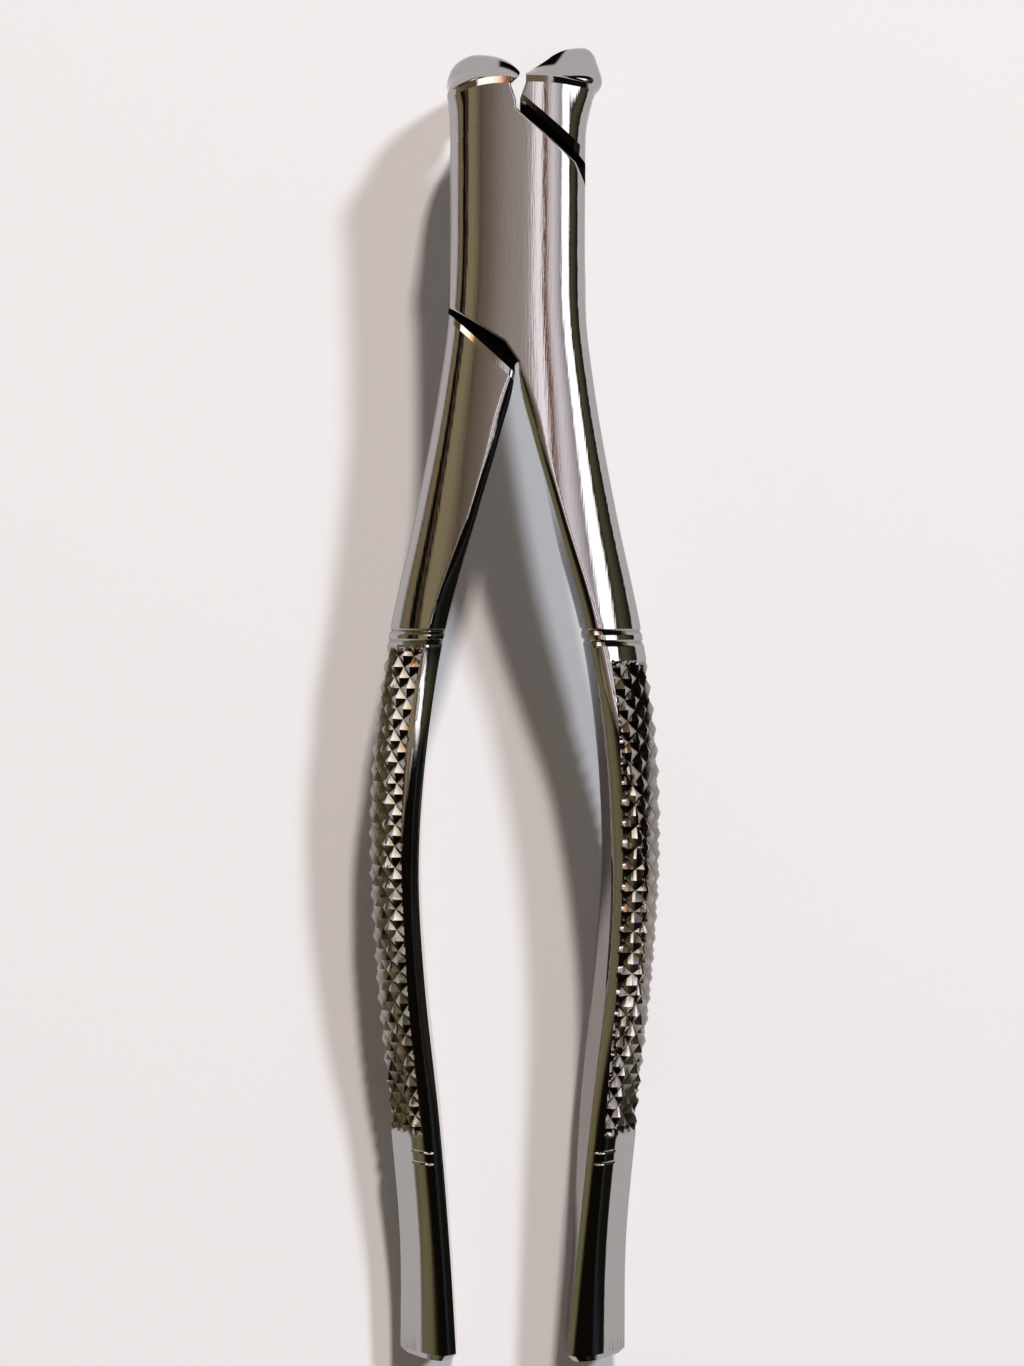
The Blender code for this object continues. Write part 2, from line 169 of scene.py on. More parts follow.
# Mesh: points round a ring, and the distance between the rings of a handle.
ACROSS = 64                    # cells across a lever's front and across its back
WALL = 12                      # cells down each of its edges
DENSE = 4                      # finer cells in each cell, to measure along a ring
END_STEP = 0.25
MARK_STEP = 0.1
GROOVE_STEP = 0.07
GROOVE_ZONE_END_Y = -48.0
ROW_STEP = 0.5
TURN_FROM_Y = -33.0            # where the rings start to turn towards the shoulder's direction
TURN_ROWS = 40
KNURL_SPACING_Y = (-34.0, -47.0)  # between them the rings take up the knurling's spacing

# Knurling: pyramids in staggered columns round the handle's outer side.
KNURL_TOP_Y = -52.0
KNURL_ROWS = 47                # half pitches along the handle
KNURL_ALONG = 1.375            # half a pyramid's length
KNURL_AROUND = 1.75            # half a pyramid's width, about
KNURL_SPLIT = 5                # mesh cells to each half pyramid
KNURL_COLUMNS = 5              # half pyramids on each side of the handle's outer line
KNURL_REACH = {                # in plan, from the outer line
    1: ((-50, 4.6), (-70, 5.2), (-90, 5.0), (-105, 4.7), (-118, 4.2)),
    -1: ((-50, 4.9), (-70, 4.5), (-90, 4.4), (-105, 4.2), (-118, 4.2)),
}
KNURL_LATE = {1: 1.3, -1: 0.0}  # how many half pitches later it starts
KNURL_DEPTH = 0.55
# Half pitches over which the cut runs out: at its inner boundary, at its top and at its end.
INNER_RUN_OUT = 0.2
TOP_RUN_OUT = 0.6
END_RUN_OUT = 0.9
# Each slanting groove is a little off its place, in half pitches, and off its depth.
GROOVE_SEED = {1: 11, -1: 23}
GROOVE_COUNT = 80
FIRST_GROOVE = 30              # number of the groove through the knurling's first corner
GROOVE_OFF_PLACE = 0.13
GROOVE_OFF_DEPTH = 0.15

# Two rings turned round the handle above its knurling, and two short marks on its face below it.
RING_GROOVES = {1: (-50.1, -51.5), -1: (-50.2, -51.5)}
RING_LOWER_WIDTH = 0.50        # of the groove's wall that faces the beaks
RING_UPPER_WIDTH = 0.28
RING_DEPTH = 0.24
RING_DULLNESS_AND_SHADE = 0.6            # of a ring's bottom, for its dullness and painted shade, as a share of the knurling's
MARK_GROOVES = {1: (-118.3, -119.8), -1: (-118.4, -119.9)}
MARK_ZONE_Y = -121.0           # where the finer rings for the marks start
MARK_HALF_WIDTH = 0.2
MARK_DEPTH = 0.10
MARK_FROM_X, MARK_TO_X = 10.4, 13.4
MARK_RUN_OUT = 0.4
MARK_FACING = 0.3              # least upward part of the normal that a mark is cut in

# Painted shade, near black: inside the lap, and on a patch inside each beak, by knots from the
# bend.
LAP_FACE_SHARE = 0.6           # of the lap's gap, within which a point is on a lap face
DARK_PATCH_WIDTH = (2.9, 2.3)  # from the beak's inner end, where it starts and is full
DARK_PATCH_FROM = (2.2, 2.5)
FRONT_PATCH_TO = (2.9, 3.15)   # where the front lever's ends; the back lever's reaches the tip

MERGE_DISTANCE = 1.5e-6        # metres
SLIVER_LENGTH = 1e-6
SHARP_ANGLE = math.radians(32)

# Steel.
LEVER_STEEL, LEVER_ROUGHNESS = (0.44, 0.425, 0.425), 0.032
SCREW_STEEL, SCREW_ROUGHNESS = (0.62, 0.61, 0.60), 0.25
EDGE_TINT = (0.75, 0.74, 0.75)
CUT_SHADE_TINT = (0.50, 0.46, 0.38)  # of the steel's colour: painted shade at the bottom of the cuts
CUT_ROUGHNESS = 0.08           # added there
# painted shade: the near-black colour painted inside the lap and the beaks
PAINTED_SHADE_COLOUR = (0.012, 0.010, 0.009)
DARK_ROUGHNESS = 0.5           # added where the shade is painted near black
BUFFING_SCALE = (5200, 160, 5200)  # fine lines along the handles
BUFFING_STRENGTH = 0.035
BUFFING_DEPTH = 0.0002
SMUDGE_SCALE = 130.0
SMUDGE_RANGE = (0.35, 0.75)    # of the noise, from the least rough steel to the roughest
SMUDGE_ROUGHNESS = (0.7, 1.5)  # shares of the steel's roughness

FLOOR_COLOUR = (0.80, 0.805, 0.82)
FLOOR_ROUGHNESS = 0.9
FLOOR_HALF_SIZE = 4.0
CAMERA_LENS = 68.26
CAMERA_TURN = math.radians(0.25)
CAMERA_PLACE = (-0.00046, 0.00236, 0.350)
NEAR_CLIP = 0.01

LAMP_DISTANCE = 5.0
LAMPS = (  # name, direction in plan, degrees over the floor, size, watts, colour
    ("far_lamp", (0.20, 0.98), 36.5, 0.35, 231.0, (1.0, 0.88, 0.82)),
    ("side_lamp", (0.76, 0.65), 44.5, 0.55, 156.0, (0.87, 0.92, 1.0)),
)

# Room that the steel mirrors: (degrees from overhead towards +X, colour) across the forceps, and
# the same towards the handle ends and towards the beaks.
ROOM_ACROSS = (
    (-92, (0.45, 0.42, 0.42)), (-85, (0.36, 0.31, 0.27)), (-82.5, (0.10, 0.03, 0.02)),
    (-80, (0.27, 0.22, 0.125)), (-67, (0.25, 0.20, 0.11)), (-64.5, (0.006, 0.005, 0.004)),
    (-57, (0.006, 0.005, 0.004)), (-55, (0.12, 0.07, 0.05)), (-53, (0.12, 0.07, 0.05)),
    (-52, (0.01, 0.008, 0.006)), (-50, (0.01, 0.008, 0.006)), (-48.5, (0.34, 0.28, 0.16)),
    (-36, (0.33, 0.27, 0.16)), (-27, (0.20, 0.155, 0.10)), (-25.5, (0.12, 0.08, 0.05)),
    (-24, (0.17, 0.13, 0.09)), (-12, (0.25, 0.20, 0.16)), (0, (0.44, 0.38, 0.34)),
    (4, (0.60, 0.52, 0.50)), (6, (1.4, 1.3, 1.33)), (11, (1.5, 1.42, 1.48)),
    (12.2, (0.22, 0.10, 0.05)), (15.2, (0.22, 0.10, 0.05)), (16.5, (0.75, 0.66, 0.66)),
    (22, (1.1, 1.03, 1.07)), (34.8, (0.50, 0.44, 0.47)), (36, (0.03, 0.03, 0.03)),
    (38, (2.2, 2.2, 2.2)), (53, (2.2, 2.2, 2.2)), (54.5, (0.02, 0.02, 0.018)),
    (62, (0.11, 0.10, 0.055)), (84, (0.02, 0.018, 0.015)),
)
ROOM_NEAR_END = (
    (-92, (0.45, 0.42, 0.42)), (-80, (0.16, 0.14, 0.08)), (-72, (0.22, 0.20, 0.11)),
    (-56, (0.18, 0.16, 0.08)), (-46, (0.05, 0.04, 0.02)), (-34, (0.007, 0.005, 0.003)),
    (55, (0.006, 0.004, 0.003)), (62, (0.03, 0.035, 0.045)), (70, (0.01, 0.01, 0.006)),
    (86, (0.01, 0.01, 0.006)), (92, (0.45, 0.42, 0.42)),
)
ROOM_FAR_END = (
    (-92, (0.30, 0.27, 0.20)), (-70, (0.13, 0.11, 0.055)), (-47, (0.16, 0.10, 0.055)),
    (-42, (2.1, 2.0, 1.9)), (-20, (2.1, 2.0, 1.8)), (-9, (1.8, 1.3, 0.8)), (-4, (0.8, 0.28, 0.13)),
    (0, (0.24, 0.16, 0.10)), (21, (0.26, 0.20, 0.13)), (23, (0.9, 0.9, 0.9)),
    (26.5, (0.9, 0.9, 0.9)), (29, (0.01, 0.008, 0.006)), (78, (0.01, 0.008, 0.006)),
    (92, (0.45, 0.42, 0.42)),
)
ROOM_NEAR_Y = (-0.14, -0.20)   # direction's Y over which the near end takes over
ROOM_FAR_Y = (0.30, 0.42)
ROOM_GLOW = 1.2
AMBIENT = (0.155, 0.130, 0.110)
BACKGROUND = (0.80, 0.78, 0.79)


def spline(knots, at):
    """Cubic Hermite curve through the knots, whose first values may rise or fall."""
    x = np.array([knot[0] for knot in knots], float)
    v = np.array([knot[1] for knot in knots], float)
    if x[0] > x[-1]:
        x, v = x[::-1], v[::-1]
    slope = np.gradient(v, x)
    at = np.clip(at, x[0], x[-1])
    i = np.clip(np.searchsorted(x, at) - 1, 0, len(x) - 2)
    h = x[i + 1] - x[i]
    t = (at - x[i]) / h
    rise = (2 * t**3 - 3 * t**2 + 1) * v[i] + (3 * t**2 - 2 * t**3) * v[i + 1]
    return rise + h * ((t**3 - 2 * t**2 + t) * slope[i] + (t**3 - t**2) * slope[i + 1])


def knot_curve(values, t):
    """The curve through evenly spaced values, at t knots from the first."""
    return float(spline(tuple(enumerate(values)), t))


def smoothstep(low, high, at):
    t = np.clip((at - low) / (high - low), 0, 1)
    return t * t * (3 - 2 * t)


def between(row_a, row_b, t):
    a, b = np.array(row_a, float), np.array(row_b, float)
    return a + (b - a) * t


def across(count):
    return (1 - np.cos(np.pi * np.arange(count + 1) / count)) / 2


def handle_dip(y):
    """Height of the handle's middle over the joint's middle plane."""
    return -HANDLE_DIP * smoothstep(0, 1, (DIP_START_Y - y) / (DIP_START_Y - HANDLE_END_Y))


def crown(x, middle, reach, exponent):
    """Height of a rounded section at x, as a share of its full height."""
    off = np.clip(np.abs(x - middle) / reach, 0, 1)
    return (1 - off**exponent) ** (1 / exponent)


def section_share(x, y, side):
    """Height of the lever's face over its middle plane, as a share of the half thickness."""
    outer = spline(HANDLE_OUTER_X, np.minimum(y, 0))
    inner = spline(HANDLE_INNER_X, np.minimum(y, CROTCH_Y))
    crest = spline(CREST_X[side], np.minimum(y, 0))
    reach = np.where(x > crest, outer - crest, np.maximum(outer, JOINT_HALF_WIDTH))
    flat = (x < crest) & (y < FLAT_INSIDE_Y)
    share = np.where(flat, 1.0, crown(x, crest, reach, spline(ROUNDNESS, np.minimum(y, 0))))
    at_end = smoothstep(END_SECTION_FROM_Y, END_SECTION_FULL_Y, y)
    from_outside = np.clip((outer - x) / (outer - inner), 0, 1)
    return share + (spline(END_SECTION, from_outside) - share) * at_end


def edge_drop(x, y, radius, end):
    """How far the face has rounded down at its distance from the end of its row."""
    short = np.clip(radius - np.hypot(x - end[0], y - end[1]), 0, radius)
    return radius - np.sqrt(np.maximum(radius * radius - short * short, 0))


def edge_bevel(x, radius, end_x, facet):
    """How far the face has curved down, from the slope facet to 45 degrees at the inner edge."""
    short = np.clip(radius - np.abs(x - end_x), 0, radius)
    return short * (facet + (1 - facet) * short / (2 * radius))


def lever_row(left, right, count=ACROSS, side=1, facet=0.0):
    """Points across the handle or the joint, with the heights of its front and back there."""
    u = across(count)
    x = left[0] + (right[0] - left[0]) * u
    y = left[1] + (right[1] - left[1]) * u
    height = spline(HANDLE_HALF_DEPTH, y) * section_share(x, y, side)
    if left[1] < CROTCH_Y:
        radius = float(spline(INNER_EDGE_RADIUS[side], left[1]))
        height = height - edge_bevel(x, radius, left[0], facet)
    else:
        height = height - edge_drop(x, y, PLATE_EDGE_RADIUS, left)
        height = height - edge_drop(x, y, PLATE_EDGE_RADIUS, right)
    height = np.maximum(height, 0)
    middle = handle_dip(y)
    return x, y, middle + height, middle - height


def handle_row(inner_y, outer_y, side, count=ACROSS):
    """A row across the handle between its two edges."""
    wider = 0.0 if side > 0 else float(spline(LEFT_WIDER, inner_y))
    inner = (float(spline(HANDLE_INNER_X, inner_y)) - wider, inner_y)
    outer = (float(spline(HANDLE_OUTER_X, outer_y)), outer_y)
    facet = 0.0 if side > 0 else max(0.0, float(spline(LEFT_FACET, inner_y)))
    return lever_row(inner, outer, count, side, facet)


def walled(front, back, count):
    """A ring: the front from right to left, a wall, the back from left to right, a wall."""
    share = np.arange(1, count)[:, None] / count
    left = front[0] + (back[0] - front[0]) * share
    right = back[-1] + (front[-1] - back[-1]) * share
    return np.concatenate([front[::-1], left, back, right])


def cut_row(row, side, is_plate=False, bevel=0.0, wall=WALL):
    """The ring of a row: half as thick on the plate, and lowered by a shoulder's bevel."""
    x, y, front_z, back_z = row
    own, other = (front_z, -back_z) if side > 0 else (-back_z, front_z)
    if is_plate:
        own = np.maximum(own, LAP_GAP / 2)
        other = np.full_like(other, -LAP_GAP / 2)
    if bevel:
        other = np.maximum(other - bevel, np.minimum(other, 0))
    front_z, back_z = (own, -other) if side > 0 else (other, -own)
    front = np.stack([x * side, y, front_z], axis=1)
    back = np.stack([x * side, y, back_z], axis=1)
    ring = walled(front, back, wall)
    if side > 0 and y[0] < WALL_SLOPE[0][0]:
        down = np.arange(1, wall) / wall
        out = down * (1 - smoothstep(WALL_SLOPE_ENDS, 1.0, down)) * float(spline(WALL_SLOPE, y[0]))
        inner_wall = slice(len(front), len(front) + wall - 1)
        ring[inner_wall, 0] -= out
    return ring


def square_ring(y, side, knurl_spacing):
    """A ring square to the handle, whose points keep the knurling's spacing by the share given."""
    fine = cut_row(handle_row(y, y, side, ACROSS * DENSE), side, wall=WALL * DENSE)
    fine = np.vstack([fine, fine[:1]])
    along = np.concatenate([[0], np.cumsum(np.linalg.norm(np.diff(fine, axis=0), axis=1))])
    plain = along[:-1:DENSE]
    # The knurling's columns end on its inner boundary, which follows the handle's outer line.
    front = fine[:ACROSS * DENSE + 1]
    in_plan = np.abs(front[0, 0]) - np.abs(front[:, 0])
    reach_along = np.interp(float(spline(KNURL_REACH[side], y)), in_plan, along[:len(front)])
    step = reach_along / (KNURL_COLUMNS * KNURL_SPLIT)
    half = (KNURL_COLUMNS + 1) * KNURL_SPLIT
    count = len(plain)
    corners = (ACROSS, ACROSS + WALL)
    kept = (0, half, *corners, count - half, count)
    kept_along = (0, step * half, *plain[list(corners)], along[-1] - step * half, along[-1])
    spaced = np.interp(np.arange(count), kept, kept_along)
    at = plain + (spaced - plain) * knurl_spacing
    return np.stack([np.interp(at, along, fine[:, axis]) for axis in range(3)], axis=1)


def handle_levels():
    """The y of the handle's square rings from its end, and the number of the knurling's first."""
    knurl_end = KNURL_TOP_Y - KNURL_ROWS * KNURL_ALONG
    below = [
        np.arange(HANDLE_END_Y + END_CHAMFER, MARK_ZONE_Y, END_STEP),
        np.arange(MARK_ZONE_Y, knurl_end - MARK_STEP / 2, MARK_STEP),
    ]
    knurled = np.linspace(knurl_end, KNURL_TOP_Y, KNURL_ROWS * KNURL_SPLIT + 1)
    grooved = np.arange(KNURL_TOP_Y + GROOVE_STEP, GROOVE_ZONE_END_Y, GROOVE_STEP)
    above = np.arange(GROOVE_ZONE_END_Y, TURN_FROM_Y, ROW_STEP)
    levels = np.concatenate([[HANDLE_END_Y], *below, knurled, grooved, above])
    return levels, 1 + len(below[0]) + len(below[1])


def handle_rings(side):
    """From the handle's chamfered end to the crotch, where the rows lie along the shoulder."""
    levels, knurl_at = handle_levels()
    rings = [square_ring(y, side, float(smoothstep(*KNURL_SPACING_Y, y))) for y in levels]
    end = rings[0]
    for axis, inset in ((0, END_CHAMFER), (2, END_INSET_Z)):
        low, high = end[:, axis].min(), end[:, axis].max()
        middle = (low + high) / 2
        end[:, axis] = middle + (end[:, axis] - middle) * (1 - 2 * inset / (high - low))
    (_, inner_end), (_, outer_end) = PLATE_ROWS[0]
    for k in range(1, TURN_ROWS):
        t = k / TURN_ROWS
        inner_y = levels[-1] + (inner_end - SHOULDER_BEVEL - levels[-1]) * t
        outer_y = levels[-1] + (outer_end - SHOULDER_BEVEL - levels[-1]) * t
        rings.append(cut_row(handle_row(inner_y, outer_y, side), side))
    return rings, knurl_at


def joint_rings(side):
    """A bevelled shoulder, the half-thickness plate, the other shoulder and the shank."""
    first, last = PLATE_ROWS[0], PLATE_ROWS[-1]
    below = handle_row(first[0][1] - SHOULDER_BEVEL, first[1][1] - SHOULDER_BEVEL, side)
    rings = [cut_row(below, side)]
    rings.append(cut_row(lever_row(*first), side, bevel=LOWER_BEVEL_DROP))
    rings.append(cut_row(lever_row(*first), side, is_plate=True))
    for a, b, steps in zip(PLATE_ROWS, PLATE_ROWS[1:], PLATE_STEPS):
        for k in range(1, steps + 1):
            row = between(a, b, k / steps)
            rings.append(cut_row(lever_row(*row), side, is_plate=True))
    above = np.array(last) + UPPER_SHOULDER_STEPS
    rings.append(cut_row(lever_row(*last), side, bevel=UPPER_BEVEL_DROP))
    rings.append(cut_row(lever_row(*above), side))
    for k in range(1, SHANK_ROWS):
        t = k / SHANK_ROWS
        ring = cut_row(lever_row(*between(above, BEND_ROW, t)), side)
        back = ring[:, 2] < 0
        ring[back, 1] += (BEND_Y - UNDER_BEND_Y) * t * ring[back, 2] / JOINT_HALF_THICKNESS
        rings.append(ring)
    return rings


def side_view(knots, t):
    """The (y, z) at t knots along a line of the beak's side view."""
    return np.array([knot_curve([knot[axis] for knot in knots], t) for axis in (0, 1)])


def beak_ring(side, t, back):
    """The beak's ring at t knots from the bend, whose back lies at (y, z)."""
    under = side_view(BEAK_UNDER, t)
    outer_x = knot_curve(BEAK_OUTER_X, t)
    inner_x = knot_curve(BEAK_INNER_X[side], t)
    lean = BEAK_LEAN * float(smoothstep(0, 1, t / LEAN_KNOTS))
    x = outer_x + (inner_x - outer_x) * across(ACROSS)
    joint_x = x * min(1.0, -JOINT_HALF_WIDTH / outer_x)
    joint_share = section_share(joint_x, np.full_like(x, BEAK_SECTION_Y), side)
    ridge = outer_x + BEAK_RIDGE_SHARE[side] * (inner_x - outer_x)
    reach = np.where(x < ridge, ridge - outer_x, (inner_x - ridge) * BEAK_INNER_REACH)
    own_share = crown(x, ridge, reach, BEAK_ROUNDNESS)
    from_knot, to_knot = OWN_SECTION_KNOTS[side]
    own = min(1.0, max(0.0, t - from_knot) / (to_knot - from_knot))
    share = joint_share + (own_share - joint_share) * own
    middle = (back + under) / 2
    front = np.column_stack([x * side + lean, middle + share[:, None] * (back - middle)])
    rear = np.column_stack([x * side + lean, middle + share[:, None] * (under - middle)])
    tuck = BEAK_TUCK[side] * float(smoothstep(0, TUCK_KNOTS, t))
    tuck = tuck * (1 - float(smoothstep(*TUCK_FADE_KNOTS, t)))
    rear[:, 0] -= side * tuck * across(ACROSS)**2
    ring = walled(front, rear, WALL)
    wall = np.arange(1, WALL) / WALL
    ring[1 - WALL:, 0] -= side * knot_curve(BEAK_HOLLOW, t) * 4 * wall * (1 - wall)
    return ring


def beak_rings(side):
    """From the bend's front edge to the tip; the beak is hollowed along its inner side."""
    rings = [beak_ring(side, 0.0, np.array([BEND_Y, JOINT_HALF_THICKNESS]))]
    for k in range((len(BEAK_UNDER) - 1) * BEAK_STEPS + 1):
        t = k / BEAK_STEPS
        rings.append(beak_ring(side, t, side_view(BEAK_BACK[side], t)))
    return rings


def flared(points, side):
    """The rings, with the lever's far end widened outwards and its bend arched."""
    x, y = points[..., 0] * side, points[..., 1]
    outwards = spline(FLARE[side], y) * smoothstep(*FLARE_X, -x)
    below = FLARE_BELOW[side]
    outwards = outwards * (below + (1 - below) * smoothstep(*FLARE_Z, points[..., 2]))
    lower, arch = BEND_ARCH[side]
    here = smoothstep(*ARCH_STARTS_Y, y) * (1 - smoothstep(*ARCH_ENDS_Y, y))
    moved = points.copy()
    moved[..., 0] -= side * outwards
    moved[..., 1] -= (lower + arch * (x - ARCH_TOP_X)**2) * here
    return moved


def grid_normals(points):
    """Outward directions of a grid of rings, each closed on itself."""
    round_it = np.roll(points, -1, axis=1) - np.roll(points, 1, axis=1)
    along = np.gradient(points, axis=0)
    normal = np.cross(along, round_it)
    length = np.linalg.norm(normal, axis=2, keepdims=True)
    normal = normal / np.maximum(length, 1e-12)
    centre = points.mean(axis=1, keepdims=True)
    facing = np.sign(np.sum(normal * (points - centre), axis=(1, 2)))
    return normal * facing[:, None, None]


def groove_offsets(at, seed, amount):
    """Random offsets, one for each groove, read at the grooves' numbers."""
    offsets = np.random.default_rng(seed).uniform(-amount, amount, GROOVE_COUNT)
    return np.interp(at.ravel(), np.arange(GROOVE_COUNT), offsets).reshape(at.shape)


def knurl(points, knurl_at, side):
    """Cuts the pyramids into a handle's rings, and says how deep and where it has cut."""
    rows, count = points.shape[:2]
    column = np.arange(count)
    column = np.where(column > count // 2, column - count, column) / KNURL_SPLIT
    row = (KNURL_ROWS * KNURL_SPLIT - (np.arange(rows) - knurl_at)) / KNURL_SPLIT
    a, b = np.broadcast_arrays(column[None, :], row[:, None])
    # Two families of slanting grooves leave a pyramid between them.
    from_tops = np.abs(np.mod(a + 1, 2) - 1) + np.abs(np.mod(b + 1, 2) - 1)
    height = np.abs(1 - from_tops)
    seed = GROOVE_SEED[side]
    falling = (a + b) / 2 + FIRST_GROOVE
    rising = (b - a) / 2 + FIRST_GROOVE
    shift_u = groove_offsets(falling, seed, GROOVE_OFF_PLACE)
    shift_v = groove_offsets(rising, seed + 1, GROOVE_OFF_PLACE)
    share = 1 + groove_offsets(falling, seed + 2, GROOVE_OFF_DEPTH)
    # The cut stops at the smooth inner strip and runs out at both ends.
    run_out = 1 - smoothstep(KNURL_COLUMNS - INNER_RUN_OUT, KNURL_COLUMNS, np.abs(a))
    late = KNURL_LATE[side]
    run_out = run_out * smoothstep(late, late + TOP_RUN_OUT, b)
    run_out = run_out * smoothstep(0.0, END_RUN_OUT, KNURL_ROWS - b)
    inside = (b >= 0) & (b <= KNURL_ROWS) & (run_out > 0)
    cut = np.where(inside, (1 - height) * KNURL_DEPTH * share * run_out, 0)
    normal = grid_normals(points)
    along = np.gradient(points, axis=0)
    along /= np.linalg.norm(along, axis=2, keepdims=True)
    tangent = np.cross(normal, along)
    move_round = (shift_u - shift_v) / 2 * KNURL_AROUND * run_out
    move_along = (shift_u + shift_v) / 2 * KNURL_ALONG * run_out
    moved = points - normal * cut[..., None]
    moved = moved + np.where(inside, move_round, 0)[..., None] * tangent
    moved = moved - np.where(inside, move_along, 0)[..., None] * along
    return moved, cut / KNURL_DEPTH, inside


def cut_grooves(points, side):
    """Cuts the rings and marks into a handle's rings, and says how deep, in ring depths."""
    y = points[..., 1]
    normal = grid_normals(points)
    cut = np.zeros(y.shape)
    for centre in RING_GROOVES[side]:
        off = np.where(y < centre, (centre - y) / RING_LOWER_WIDTH, (y - centre) / RING_UPPER_WIDTH)
        cut = np.maximum(cut, RING_DEPTH * np.clip(1 - off, 0, 1))
    x = np.abs(points[..., 0])
    on_mark = smoothstep(MARK_FROM_X, MARK_FROM_X + MARK_RUN_OUT, x)
    on_mark = on_mark * (1 - smoothstep(MARK_TO_X - MARK_RUN_OUT, MARK_TO_X, x))
    on_mark = on_mark * (normal[..., 2] > MARK_FACING)
    for centre in MARK_GROOVES[side]:
        off = np.abs(y - centre) / MARK_HALF_WIDTH
        cut = np.maximum(cut, MARK_DEPTH * np.clip(1 - off, 0, 1) * on_mark)
    return points - normal * cut[..., None], cut / RING_DEPTH


def shade_paint_mask(points, side, plate, bend):
    """1 where shade is painted near black, among the plate's rings and from the bend on; 0
    elsewhere.
    """
    dark = np.zeros(points.shape[:2])
    on_lap = np.abs(points[..., 2]) < LAP_FACE_SHARE * LAP_GAP
    dark[plate][on_lap[plate]] = 1.0
    knots = (np.arange(len(points) - bend) - 1) / BEAK_STEPS
    x = points[bend:, :, 0] * side
    inner_end = x.max(axis=1, keepdims=True)
    start, full = DARK_PATCH_WIDTH
    at_inner_end = smoothstep(inner_end - start, inner_end - full, x)
    here = smoothstep(*DARK_PATCH_FROM, knots)
    if side > 0:
        here = here * (1 - smoothstep(*FRONT_PATCH_TO, knots))
    dark[bend:] = at_inner_end * here[:, None]
    return dark


def build_mesh(name, points, knurled, knurl_top):
    """One closed mesh through the grid of rings, flat-shaded where it is knurled.

    A cell of the knurling is split along the groove beside it, which slants the other way from one
    half pyramid to the next.
    """
    rows, count = points.shape[:2]
    index = np.arange(rows * count).reshape(rows, count).tolist()
    faces = []
    flat = []
    for i in range(rows - 1):
        lower, upper = index[i], index[i + 1]
        half_row = (knurl_top - i - 1) // KNURL_SPLIT
        for j in range(count):
            after = (j + 1) % count
            a, b, c, d = lower[j], lower[after], upper[after], upper[j]
            if not (knurled[i, j] and knurled[i + 1, j] and knurled[i, after]):
                faces.append((a, b, c, d))
                flat.append(False)
                continue
            half_column = (j if j < count // 2 else j - count) // KNURL_SPLIT
            if (half_column + half_row) % 2 == 0:
                faces += [(a, b, c), (a, c, d)]
            else:
                faces += [(a, b, d), (b, c, d)]
            flat += [True, True]
    faces += [tuple(index[0][::-1]), tuple(index[-1])]
    flat += [True, True]
    mesh = bpy.data.meshes.new(name)
    mesh.from_pydata((points * MM).reshape(-1, 3).tolist(), [], faces)
    mesh.polygons.foreach_set("use_smooth", [not value for value in flat])
    return mesh


def add_attribute(mesh, name, values):
    attribute = mesh.attributes.new(name, "FLOAT", "POINT")
    attribute.data.foreach_set("value", values.astype(np.float32).ravel())


def finish_mesh(mesh, creased, count):
    """Merges doubled points and marks sharp edges: along the creased rings, and by their angle."""
    bm = bmesh.new()
    bm.from_mesh(mesh)
    for edge in bm.edges:
        rows = {vert.index // count for vert in edge.verts}
        if len(rows) == 1 and rows <= creased:
            edge.smooth = False
    bmesh.ops.remove_doubles(bm, verts=bm.verts, dist=MERGE_DISTANCE)
    bmesh.ops.dissolve_degenerate(bm, edges=bm.edges, dist=SLIVER_LENGTH)
    bmesh.ops.recalc_face_normals(bm, faces=bm.faces)
    for edge in bm.edges:
        if len(edge.link_faces) == 2 and edge.calc_face_angle(0.0) > SHARP_ANGLE:
            edge.smooth = False
    bm.to_mesh(mesh)
    bm.free()


def steel_lever(name, side, node, body):
    """One lever: its piece rides on the body and stands for the CAD node."""
    handle, knurl_at = handle_rings(side)
    handle_count = len(handle)
    first_plate = handle_count + 2
    last_plate = first_plate + sum(PLATE_STEPS)
    bend = last_plate + 2 + SHANK_ROWS
    points = flared(np.array(handle + joint_rings(side) + beak_rings(side)), side)
    depth = np.zeros(points.shape[:2])
    knurled = np.zeros(points.shape[:2], bool)
    grid, knurl_depth, knurled[:handle_count] = knurl(points[:handle_count], knurl_at, side)
    points[:handle_count], ring_depth = cut_grooves(grid, side)
    depth[:handle_count] = np.maximum(knurl_depth, RING_DULLNESS_AND_SHADE * ring_depth)
    mesh = build_mesh(name, points, knurled, knurl_at + KNURL_ROWS * KNURL_SPLIT)
    # cut_depth sets both the cuts' added roughness and their painted shade
    add_attribute(mesh, "cut_depth", depth)
    plate = slice(first_plate, last_plate + 1)
    # painted shade: 1 on the lap faces and on the patches inside the beaks
    add_attribute(mesh, "painted_shade", shade_paint_mask(points, side, plate, bend))
    creased = {0, 1, bend, bend + 1}
    creased |= {handle_count, handle_count + 1, last_plate + 1, last_plate + 2}
    finish_mesh(mesh, creased, points.shape[1])
    mesh.transform(JOINT_TO_WORLD)
    obj = bpy.data.objects.new(name, mesh)
    bpy.context.scene.collection.objects.link(obj)
    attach(obj, body)
    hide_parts(node)
    return obj


def new_node(nodes, kind, **settings):
    node = nodes.new(kind)
    for key, value in settings.items():
        setattr(node, key, value)
    return node


def noise(nodes, links, vector, scale, detail):
    made = nodes.new("ShaderNodeTexNoise")
    made.inputs["Scale"].default_value = scale
    made.inputs["Detail"].default_value = detail
    links.new(vector, made.inputs["Vector"])
    return made.outputs["Fac"]


def map_range(nodes, links, value, low, high, interpolation="LINEAR"):
    """A Map Range node from low to high, which are pairs: from, to."""
    made = new_node(nodes, "ShaderNodeMapRange", interpolation_type=interpolation)
    made.inputs["From Min"].default_value, made.inputs["To Min"].default_value = low
    made.inputs["From Max"].default_value, made.inputs["To Max"].default_value = high
    links.new(value, made.inputs["Value"])
    return made.outputs["Result"]


